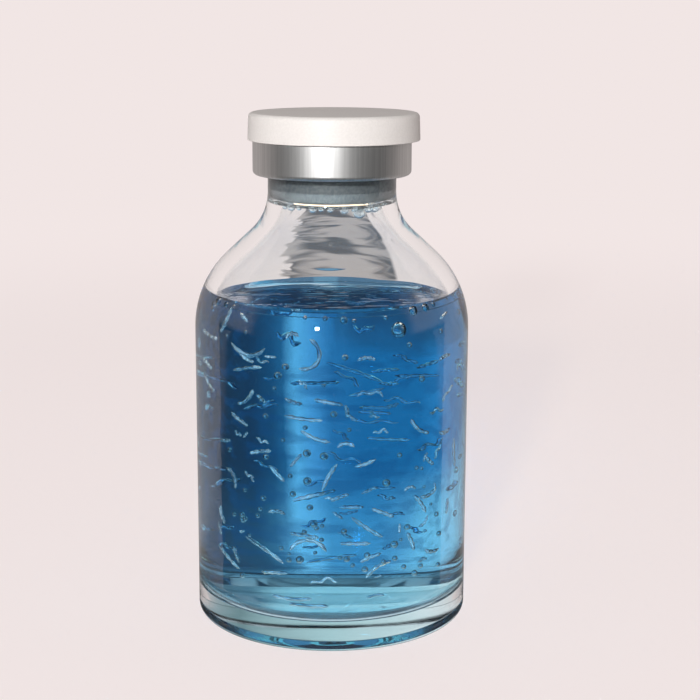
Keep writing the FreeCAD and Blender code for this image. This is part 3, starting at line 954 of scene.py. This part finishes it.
glass = clear_material("clear_glass", GLASS_LOOK, GLASS_WAVES)
foam = clear_material("foam", FOAM_LOOK, FOAM_WAVES)
rubber = grained_material("grey_rubber", RUBBER_LOOK, RUBBER_GRAIN, RUBBER_DARK, RUBBER_PALE)
aluminium = grained_material("satin_aluminium", ALUMINIUM_LOOK, ALUMINIUM_MARKS, ALUMINIUM_DARK,
                             ALUMINIUM_PALE, ALUMINIUM_ROUGHNESS)
plastic = grained_material("white_plastic", PLASTIC_LOOK, PLASTIC_GRAIN, PLASTIC_DARK, PLASTIC_PALE)

piece("glass_bottle", glass_skin(), glass, "clear_glass", "glass_vial")
piece("gel_fill", gel_skin(), gel_material(), "blue_gel", "blue_gel")
piece("foam", foam_skin(), foam, "blue_gel")
piece("stopper", stopper_skin(), rubber, "grey_rubber", "rubber_stopper")
piece("seal", seal_skin(), aluminium, "satin_aluminium", "crimp_seal")
piece("cap", cap_skin(), plastic, "white_plastic", "flip_cap")


# Stage

# Faces of glass and gel that a ray has passed: fewer than this in the bare foot of the glass, fewer
# in the empty shoulder, and between the two last ones straight through the barrel
FOOT_FACES = 2.5
SHOULDER_FACES = 4.5
BARREL_FACES = (5.5, 6.5)
MIRRORED = 0.5

WALL_TINT = (0.88, 0.79, 0.78)
FLOOR_REACH = 1.6
FLOOR_FADE = (0.16, 0.5)
FLOOR_GLOW = 0.60
FLOOR_NEAR = (1.13, 1.01, 1.00)
# Painted reflection of the floor, dark in front of the vial
FLOOR_MIRROR_FRONT = (0.08, 0.08, 0.08)
FLOOR_MIRROR_SPAN = (0, 30 * MM)
# Painted light under the vial's foot, seen through it
FOOT_SPAN = (BODY_R, BODY_R + MM)
FOOT_LIGHT = (0.50, 0.62, 0.70)
FOOT_BARE = (0.42, 0.60, 0.63)

# The card, a glowing panel with the vial's own shadow and caustic light painted on it. Colours run from
# the left, as seen from the front, in stops of place and colour
CARD_Y = 60 * MM
CARD_REACH = 160 * MM
CARD_LOW_SPAN = (6 * MM, -8 * MM)
CARD_PIT_SPAN = (-26 * MM, -78 * MM)
CARD_CLEAR_SPAN = (33 * MM, 34 * MM)
# Painted shade high up in the middle of the card, above the neck's painted shadow
CARD_CEILING_SPAN = (48.5 * MM, 49.5 * MM)
CARD_CEILING_SIDES = (22 * MM, 18 * MM)
CARD_CEILING_SHADE = (0.02, 0.03, 0.05)
# Middle of the gel: blue to the left, a painted caustic line near 2 mm, painted shadow to the right
CARD_MIDDLE = [
    (-90 * MM, WALL_TINT),
    (-50 * MM, (0.30, 0.45, 0.70)),
    (-26 * MM, (0.14, 0.45, 0.76)),
    (-15 * MM, (0.13, 0.55, 0.92)),
    (-10 * MM, (0.06, 0.42, 0.72)),
    (-2 * MM, (0.09, 0.46, 0.74)),
    (0.2 * MM, (0.26, 0.58, 0.86)),
    (1.3 * MM, (0.80, 1.05, 1.35)),
    (2.4 * MM, (1.30, 1.45, 1.60)),
    (2.9 * MM, (0.95, 1.15, 1.35)),
    (3.5 * MM, (0.16, 0.40, 0.58)),
    (5.0 * MM, (0.07, 0.22, 0.35)),
    (8.0 * MM, (0.05, 0.12, 0.20)),
    (20 * MM, (0.05, 0.08, 0.12)),
    (160 * MM, (0.05, 0.09, 0.14)),
]
# Low in the gel: painted light to the left and a bright painted caustic line near 2 mm, painted shadow to
# the right
CARD_LOW = [
    (-90 * MM, WALL_TINT),
    (-30 * MM, (1.40, 1.45, 1.50)),
    (-12 * MM, (1.40, 1.50, 1.55)),
    (-8 * MM, (1.00, 1.15, 1.30)),
    (-3 * MM, (0.50, 0.90, 1.15)),
    (0 * MM, (0.70, 1.00, 1.20)),
    (1.4 * MM, (1.60, 1.60, 1.70)),
    (2.6 * MM, (1.80, 1.75, 1.80)),
    (3.4 * MM, (0.90, 0.95, 1.05)),
    (5.0 * MM, (0.35, 0.50, 0.60)),
    (8.0 * MM, (0.12, 0.22, 0.30)),
    (20 * MM, (0.10, 0.14, 0.20)),
    (160 * MM, (0.08, 0.10, 0.14)),
]
# Seen in mirror images deep in the gel: painted bright light to the left, painted shadow to the right
CARD_FOOT = [
    (-90 * MM, WALL_TINT),
    (-20 * MM, (2.0, 1.75, 1.6)),
    (3 * MM, (1.8, 1.75, 1.6)),
    (7 * MM, (0.35, 0.45, 0.50)),
    (30 * MM, (0.12, 0.16, 0.20)),
    (110 * MM, WALL_TINT),
]
CARD_GLASS_FOOT = [
    (-90 * MM, WALL_TINT),
    (-20 * MM, (0.66, 0.80, 0.85)),
    (0 * MM, (0.40, 0.62, 0.67)),
    (20 * MM, (0.16, 0.27, 0.30)),
    (40 * MM, (0.30, 0.40, 0.44)),
    (90 * MM, WALL_TINT),
]
# Painted colour of the card in mirror images within the gel that have passed fewer faces
CARD_INSIDE = (0.22, 0.28, 0.34)
# Painted bright light, seen straight through the barrel high on the card, and by rays from the gel that
# head up
CARD_HEEL_LIGHT = (2.6, 1.9, 1.3)
CARD_HEEL_SPAN = (27 * MM, 29 * MM)
CARD_CLOUD = (0.03, 0.20, 0.42)
CARD_CLOUD_SPAN = (0.46, 0.62)
CARD_CLOUD_SHARE = 0.38
CARD_WANDER = 0.8 * MM
# Painted shadow of the neck, seal and cap, grey with streaks, behind the neck
CARD_NECK_WANDER = 14 * MM
CARD_NECK_LEFT = (-12 * MM, -10.5 * MM)
CARD_NECK_RIGHT = (15.5 * MM, 14 * MM)
CARD_NECK_SPAN = (0.34, 0.57)
CARD_NECK_SHADOW_DARK = (0.15, 0.145, 0.15)
CARD_NECK_SHADOW_PALE = (0.52, 0.47, 0.46)

# The shade, a sheet with the painted shadow of the gel's top, whose lower edge is lifted and dropped by
# streaks and by places across it
SHADE_Y = 22 * MM
SHADE_SPAN = (31.5 * MM, 35 * MM)
SHADE_LOWEST_Z = 26.5 * MM
SHADE_HIGH_Z = 41.5 * MM
SHADE_COLOUR = (0.10, 0.20, 0.31)
SHADE_MIDDLE = (0.16, 0.33, 0.48)
SHADE_MIDDLE_LEFT = (-3 * MM, -2.4 * MM)
SHADE_MIDDLE_RIGHT = (1.3 * MM, 0.6 * MM)
SHADE_WANDER = 4 * MM
SHADE_LEFT_SPAN = (0.3 * MM, -0.3 * MM)
SHADE_LEFT_LIFT = -3 * MM
SHADE_RIGHT_SPAN = (4.5 * MM, 8 * MM)
SHADE_RIGHT_LIFT = 2 * MM

# The world. Each span is of a direction's X, Y or Z
# Seen from within the gel: painted light and shade, blue to the left, dark to the right, pale in front
GEL_FRONT = (0.75, 0.80, 0.86)
GEL_FRONT_Y = (0.1, -0.3)
GEL_ASIDE_LEFT = (0.45, 0.50, 0.62)
GEL_ASIDE_RIGHT = (0.05, 0.09, 0.14)
GEL_ASIDE_X = (-0.2, 0.2)
GEL_ASIDE_HIGH_Z = (0.05, 0.2)
GEL_ASIDE_LOW_Z = (-0.85, -0.7)
ROOM_SOFT = (0.33, 0.305, 0.30)
ROOM_INSIDE = (0.03, 0.03, 0.03)
ROOM_INSIDE_Y = (-0.1, -0.35)
ROOM_INSIDE_Z = (0.05, -0.05)
ROOM_FRONT = (0.12, 0.12, 0.12)
ROOM_FRONT_Y = (-0.1, -0.5)
ROOM_SIDE = (0.05, 0.05, 0.05)
ROOM_BACK = (0.46, 0.42, 0.41)
ROOM_BACK_Y = (0.15, 0.5)
ROOM_CEILING = (0.12, 0.12, 0.12)
ROOM_CEILING_Z = (0.45, 0.75)
ROOM_PIT = (0.03, 0.05, 0.09)
ROOM_PIT_Z = (-0.6, -0.85)
ROOM_FOOT_Z = (-0.3, -0.4)


def floor_material():
    """Pale floor that fades into the backdrop away from the vial. Seen through the vial, it glows with
    painted light under the foot, and beyond the foot it gives way to the card. In mirror images it
    shows a painted reflection, dark in front of the vial and bright behind it."""
    material, graph, output = new_material("floor")
    path = graph.add("LightPath").outputs
    place = graph.add("NewGeometry").outputs["Position"]
    reach = graph.add("VectorMath", {"Vector": place}, operation="LENGTH").outputs["Value"]
    bare = graph.below(path["Transmission Depth"], FOOT_FACES)
    # Painted light under the foot
    foot_light = graph.glow(graph.blend(bare, FOOT_LIGHT, FOOT_BARE))
    foot = graph.mixed(graph.mask(reach, *FOOT_SPAN), foot_light, graph.clear())
    fade = graph.mask(reach, *FLOOR_FADE)
    backdrop = graph.glow(graph.blend(fade, FLOOR_NEAR, WALL_TINT))
    glow = graph.math("ADD", graph.product(fade, 1 - FLOOR_GLOW), FLOOR_GLOW)
    seen = graph.product(glow, path["Is Camera Ray"])
    outside = graph.mixed(seen, graph.add("BsdfPrincipled", FLOOR_LOOK).outputs[0], backdrop)
    # Painted reflection of the floor: dark in front, the room's colour behind
    behind = graph.mask(graph.parts(place)["Y"], *FLOOR_MIRROR_SPAN)
    image = graph.glow(graph.blend(behind, FLOOR_MIRROR_FRONT, ROOM_BACK))
    mirrored = graph.mixed(path["Is Glossy Ray"], outside, image)
    graph.put(output["Surface"], graph.mixed(path["Is Transmission Ray"], mirrored, foot))
    return material


def card_material():
    """The light card behind the vial, which only the glass and the gel show, with the vial's own shadow
    and caustic light painted on it. Below the gel's level it is dark to the right and blue to the left,
    painted shadow with a painted caustic line between, which the barrel turns round; above it is pale with
    the streaky grey painted shadow of the neck, and higher still it is dark in the middle, painted shade.
    Rays that run within the foot of the glass, or that are thrown up by it, see it paler, and rays
    straight through the barrel see painted bright light on it above the heel span."""
    material, graph, output = new_material("card")
    path = graph.add("LightPath").outputs
    depth = path["Transmission Depth"]
    mirrored = graph.above(path["Glossy Depth"], MIRRORED)
    x, y, z = graph.parts(graph.add("NewGeometry").outputs["Position"])
    streaks = graph.ripples(CARD_STREAKS)["Height"]
    wander = graph.math("SUBTRACT", streaks, NOISE_MIDDLE)
    wavy_x = graph.math("ADD", x, graph.product(wander, CARD_WANDER))

    # The vial's painted shadow and caustic light, which the barrel turns round
    middle = graph.ramp(wavy_x, CARD_REACH, CARD_MIDDLE)
    low = graph.ramp(wavy_x, CARD_REACH, CARD_LOW)
    gel = graph.blend(graph.mask(z, *CARD_LOW_SPAN), middle, low)
    clouds = graph.mask(graph.ripples(CARD_CLOUDS)["Height"], *CARD_CLOUD_SPAN)
    gel = graph.blend(graph.product(clouds, CARD_CLOUD_SHARE), gel, CARD_CLOUD)
    gel = graph.blend(graph.mask(z, *CARD_PIT_SPAN), gel, ROOM_PIT)
    # Painted light and shadow that mirror images within the gel see
    foot = graph.ramp(x, CARD_REACH, CARD_FOOT)
    inside = graph.blend(graph.above(depth, BARREL_FACES[1]), CARD_INSIDE, foot)
    gel = graph.blend(mirrored, gel, inside)
    bare = graph.below(depth, FOOT_FACES)
    glassy = graph.product(mirrored, graph.below(depth, SHOULDER_FACES))
    glass_foot = graph.ramp(x, CARD_REACH, CARD_GLASS_FOOT)
    low_part = graph.blend(graph.math("MAXIMUM", bare, glassy), gel, glass_foot)

    # Painted shadow of the neck, grey with streaks
    neck_x = graph.math("ADD", x, graph.product(wander, CARD_NECK_WANDER))
    neck_shadow = graph.product(graph.mask(neck_x, *CARD_NECK_LEFT), graph.mask(x, *CARD_NECK_RIGHT))
    grain = graph.blend(graph.mask(streaks, *CARD_NECK_SPAN), CARD_NECK_SHADOW_DARK, CARD_NECK_SHADOW_PALE)
    clear = graph.blend(neck_shadow, WALL_TINT, grain)
    # Painted shade above it, in the middle
    aside = graph.mask(graph.math("ABSOLUTE", x, 0), *CARD_CEILING_SIDES)
    ceiling = graph.product(aside, graph.mask(z, *CARD_CEILING_SPAN))
    clear = graph.blend(ceiling, clear, CARD_CEILING_SHADE)
    high_part = graph.blend(bare, clear, WALL_TINT)

    colour = graph.blend(graph.mask(z, *CARD_CLEAR_SPAN), low_part, high_part)
    straight = graph.product(graph.above(depth, BARREL_FACES[0]), graph.below(depth, BARREL_FACES[1]),
                             graph.math("SUBTRACT", 1.0, mirrored))
    # Painted bright light for rays straight through the barrel
    heel = graph.product(straight, graph.mask(z, *CARD_HEEL_SPAN))
    graph.put(output["Surface"], graph.glow(graph.blend(heel, colour, CARD_HEEL_LIGHT)))
    return material


def shade_material():
    """The shade close behind the gel's top, its painted shadow: dark with a soft lower edge, lighter in
    the middle.
    """
    material, graph, output = new_material("shade")
    x, y, z = graph.parts(graph.add("NewGeometry").outputs["Position"])
    middle = graph.product(graph.mask(x, *SHADE_MIDDLE_LEFT), graph.mask(x, *SHADE_MIDDLE_RIGHT))
    streaks = graph.math("SUBTRACT", graph.ripples(SHADE_STREAKS)["Height"], NOISE_MIDDLE)
    height = graph.math("ADD", z, graph.product(streaks, SHADE_WANDER))
    for span, lift in ((SHADE_LEFT_SPAN, SHADE_LEFT_LIFT), (SHADE_RIGHT_SPAN, SHADE_RIGHT_LIFT)):
        height = graph.math("ADD", height, graph.product(graph.mask(x, *span), lift))
    # Painted shadow, lighter in the middle
    glow = graph.glow(graph.blend(middle, SHADE_COLOUR, SHADE_MIDDLE))
    graph.put(output["Surface"], graph.mixed(graph.mask(height, *SHADE_SPAN), graph.clear(), glow))
    return material


def studio_world():
    """A pale backdrop, which clear glass shows too between a dark ceiling and a dark pit. Rays that have
    passed through the gel and don't head steeply down see painted light and shade instead, and rays
    through the bare foot that head down see the painted light under the foot. Mirror images are of a
    room that is bright behind the vial and dim in front and beside it, and within the glass they are
    dim all round."""
    world = bpy.data.worlds.new("studio")
    bpy.context.scene.world = world
    world.use_nodes = True
    graph = Graph(world.node_tree)
    path = graph.add("LightPath").outputs
    depth = path["Transmission Depth"]
    x, y, z = graph.parts(graph.add("TexCoord").outputs["Generated"])
    room = graph.blend(graph.mask(y, *ROOM_FRONT_Y), ROOM_SIDE, ROOM_FRONT)
    room = graph.blend(graph.mask(y, *ROOM_BACK_Y), room, ROOM_BACK)
    clear = graph.blend(graph.mask(z, *ROOM_CEILING_Z), WALL_TINT, ROOM_CEILING)
    clear = graph.blend(graph.mask(z, *ROOM_PIT_Z), clear, ROOM_PIT)
    # Painted light and shade for rays from the gel
    aside = graph.blend(graph.mask(x, *GEL_ASIDE_X), GEL_ASIDE_LEFT, GEL_ASIDE_RIGHT)
    aside = graph.blend(graph.mask(z, *GEL_ASIDE_HIGH_Z), aside, CARD_HEEL_LIGHT)
    aside = graph.blend(graph.mask(y, *GEL_FRONT_Y), aside, GEL_FRONT)
    deep = graph.product(graph.above(depth, SHOULDER_FACES), graph.mask(z, *GEL_ASIDE_LOW_Z))
    clear = graph.blend(deep, clear, aside)
    mirrored = graph.above(path["Glossy Depth"], MIRRORED)
    away = graph.math("MAXIMUM", graph.mask(y, *ROOM_INSIDE_Y), graph.mask(z, *ROOM_INSIDE_Z))
    clear = graph.blend(graph.product(mirrored, away), clear, ROOM_INSIDE)
    bare = graph.product(graph.below(depth, FOOT_FACES), graph.mask(z, *ROOM_FOOT_Z))
    clear = graph.blend(bare, clear, FOOT_BARE)
    colour = graph.blend(path["Is Diffuse Ray"], room, ROOM_SOFT)
    colour = graph.blend(path["Is Transmission Ray"], colour, clear)
    colour = graph.blend(path["Is Camera Ray"], colour, WALL_TINT)
    graph.put(graph.nodes["Background"].inputs["Color"], colour)


def flat_piece(name, corners, material):
    """A flat panel of the stage."""
    mesh = bpy.data.meshes.new(name)
    mesh.from_pydata(corners, [], [tuple(range(len(corners)))])
    mesh.materials.append(material)
    thing = bpy.data.objects.new(name, mesh)
    bpy.context.scene.collection.objects.link(thing)
    return thing


def upright_card(name, y, reach, low, high, material):
    """An upright card across the view. It shows in the vial alone, and lights nothing else."""
    corners = [(-reach, y, low), (reach, y, low), (reach, y, high), (-reach, y, high)]
    card = flat_piece(name, corners, material)
    card.visible_camera = False
    card.visible_diffuse = False
    card.visible_glossy = False
    card.visible_shadow = False


flat_piece("floor", [
    (-FLOOR_REACH, -FLOOR_REACH, 0), (FLOOR_REACH, -FLOOR_REACH, 0),
    (FLOOR_REACH, FLOOR_REACH, 0), (-FLOOR_REACH, FLOOR_REACH, 0)], floor_material())
upright_card("card", CARD_Y, CARD_REACH, -CARD_REACH, CARD_REACH, card_material())
upright_card("shade", SHADE_Y, BODY_R, SHADE_LOWEST_Z, SHADE_HIGH_Z, shade_material())
studio_world()


# Lamp. Azimuth 0 is in front, and + is to the right
KEY_AZIMUTH = math.radians(-12.5)
KEY_ELEVATION = math.radians(14.5)
KEY_DISTANCE = 0.9
KEY_SIZE = 0.05
KEY_POWER = 6.0


def key_lamp():
    """A small soft lamp that points at the middle of the vial."""
    lamp = bpy.data.lights.new("key", "AREA")
    lamp.size = KEY_SIZE
    lamp.energy = KEY_POWER
    flat = math.cos(KEY_ELEVATION)
    away = Vector((math.sin(KEY_AZIMUTH) * flat, -math.cos(KEY_AZIMUTH) * flat, math.sin(KEY_ELEVATION)))
    thing = bpy.data.objects.new("key", lamp)
    thing.location = away * KEY_DISTANCE + Vector((0, 0, GLASS_HEIGHT / 2))
    thing.rotation_mode = "QUATERNION"
    thing.rotation_quaternion = away.to_track_quat("Z", "Y")
    bpy.context.scene.collection.objects.link(thing)


key_lamp()


# Camera
CAMERA_DISTANCE = 211.37 * MM
CAMERA_HEIGHT = 79.86 * MM
CAMERA_YAW = 0.0114
CAMERA_PITCH = 0.2066
CAMERA_ROLL = 0.0036
CAMERA_LENS = 83.67
CAMERA_SENSOR = 36.0
CAMERA_NEAREST = 0.01
CAMERA_FURTHEST = 10.0


def photo_camera():
    """The camera at the photograph's place and viewing angle."""
    camera = bpy.data.cameras.new("camera")
    camera.lens = CAMERA_LENS
    camera.sensor_width = CAMERA_SENSOR
    camera.clip_start = CAMERA_NEAREST
    camera.clip_end = CAMERA_FURTHEST
    yaw, pitch, roll = CAMERA_YAW, CAMERA_PITCH, CAMERA_ROLL
    ahead = Vector((math.sin(yaw) * math.cos(pitch), math.cos(yaw) * math.cos(pitch), -math.sin(pitch)))
    right = Vector((math.cos(yaw), -math.sin(yaw), 0))
    up = right.cross(ahead)
    rolled_right = right * math.cos(roll) + up * math.sin(roll)
    rolled_up = up * math.cos(roll) - right * math.sin(roll)
    turn = Matrix((rolled_right, rolled_up, -ahead)).transposed()
    thing = bpy.data.objects.new("camera", camera)
    thing.matrix_world = Matrix.Translation((0, -CAMERA_DISTANCE, CAMERA_HEIGHT)) @ turn.to_4x4()
    bpy.context.scene.collection.objects.link(thing)
    return thing


# Light that crosses glass, gel and air pockets passes many faces
CLEAR_BOUNCES = 24
MIRROR_BOUNCES = 12

scene = bpy.context.scene
scene.camera = photo_camera()
scene.cycles.max_bounces = CLEAR_BOUNCES
scene.cycles.transmission_bounces = CLEAR_BOUNCES
scene.cycles.glossy_bounces = MIRROR_BOUNCES
scene.view_settings.view_transform = "Standard"
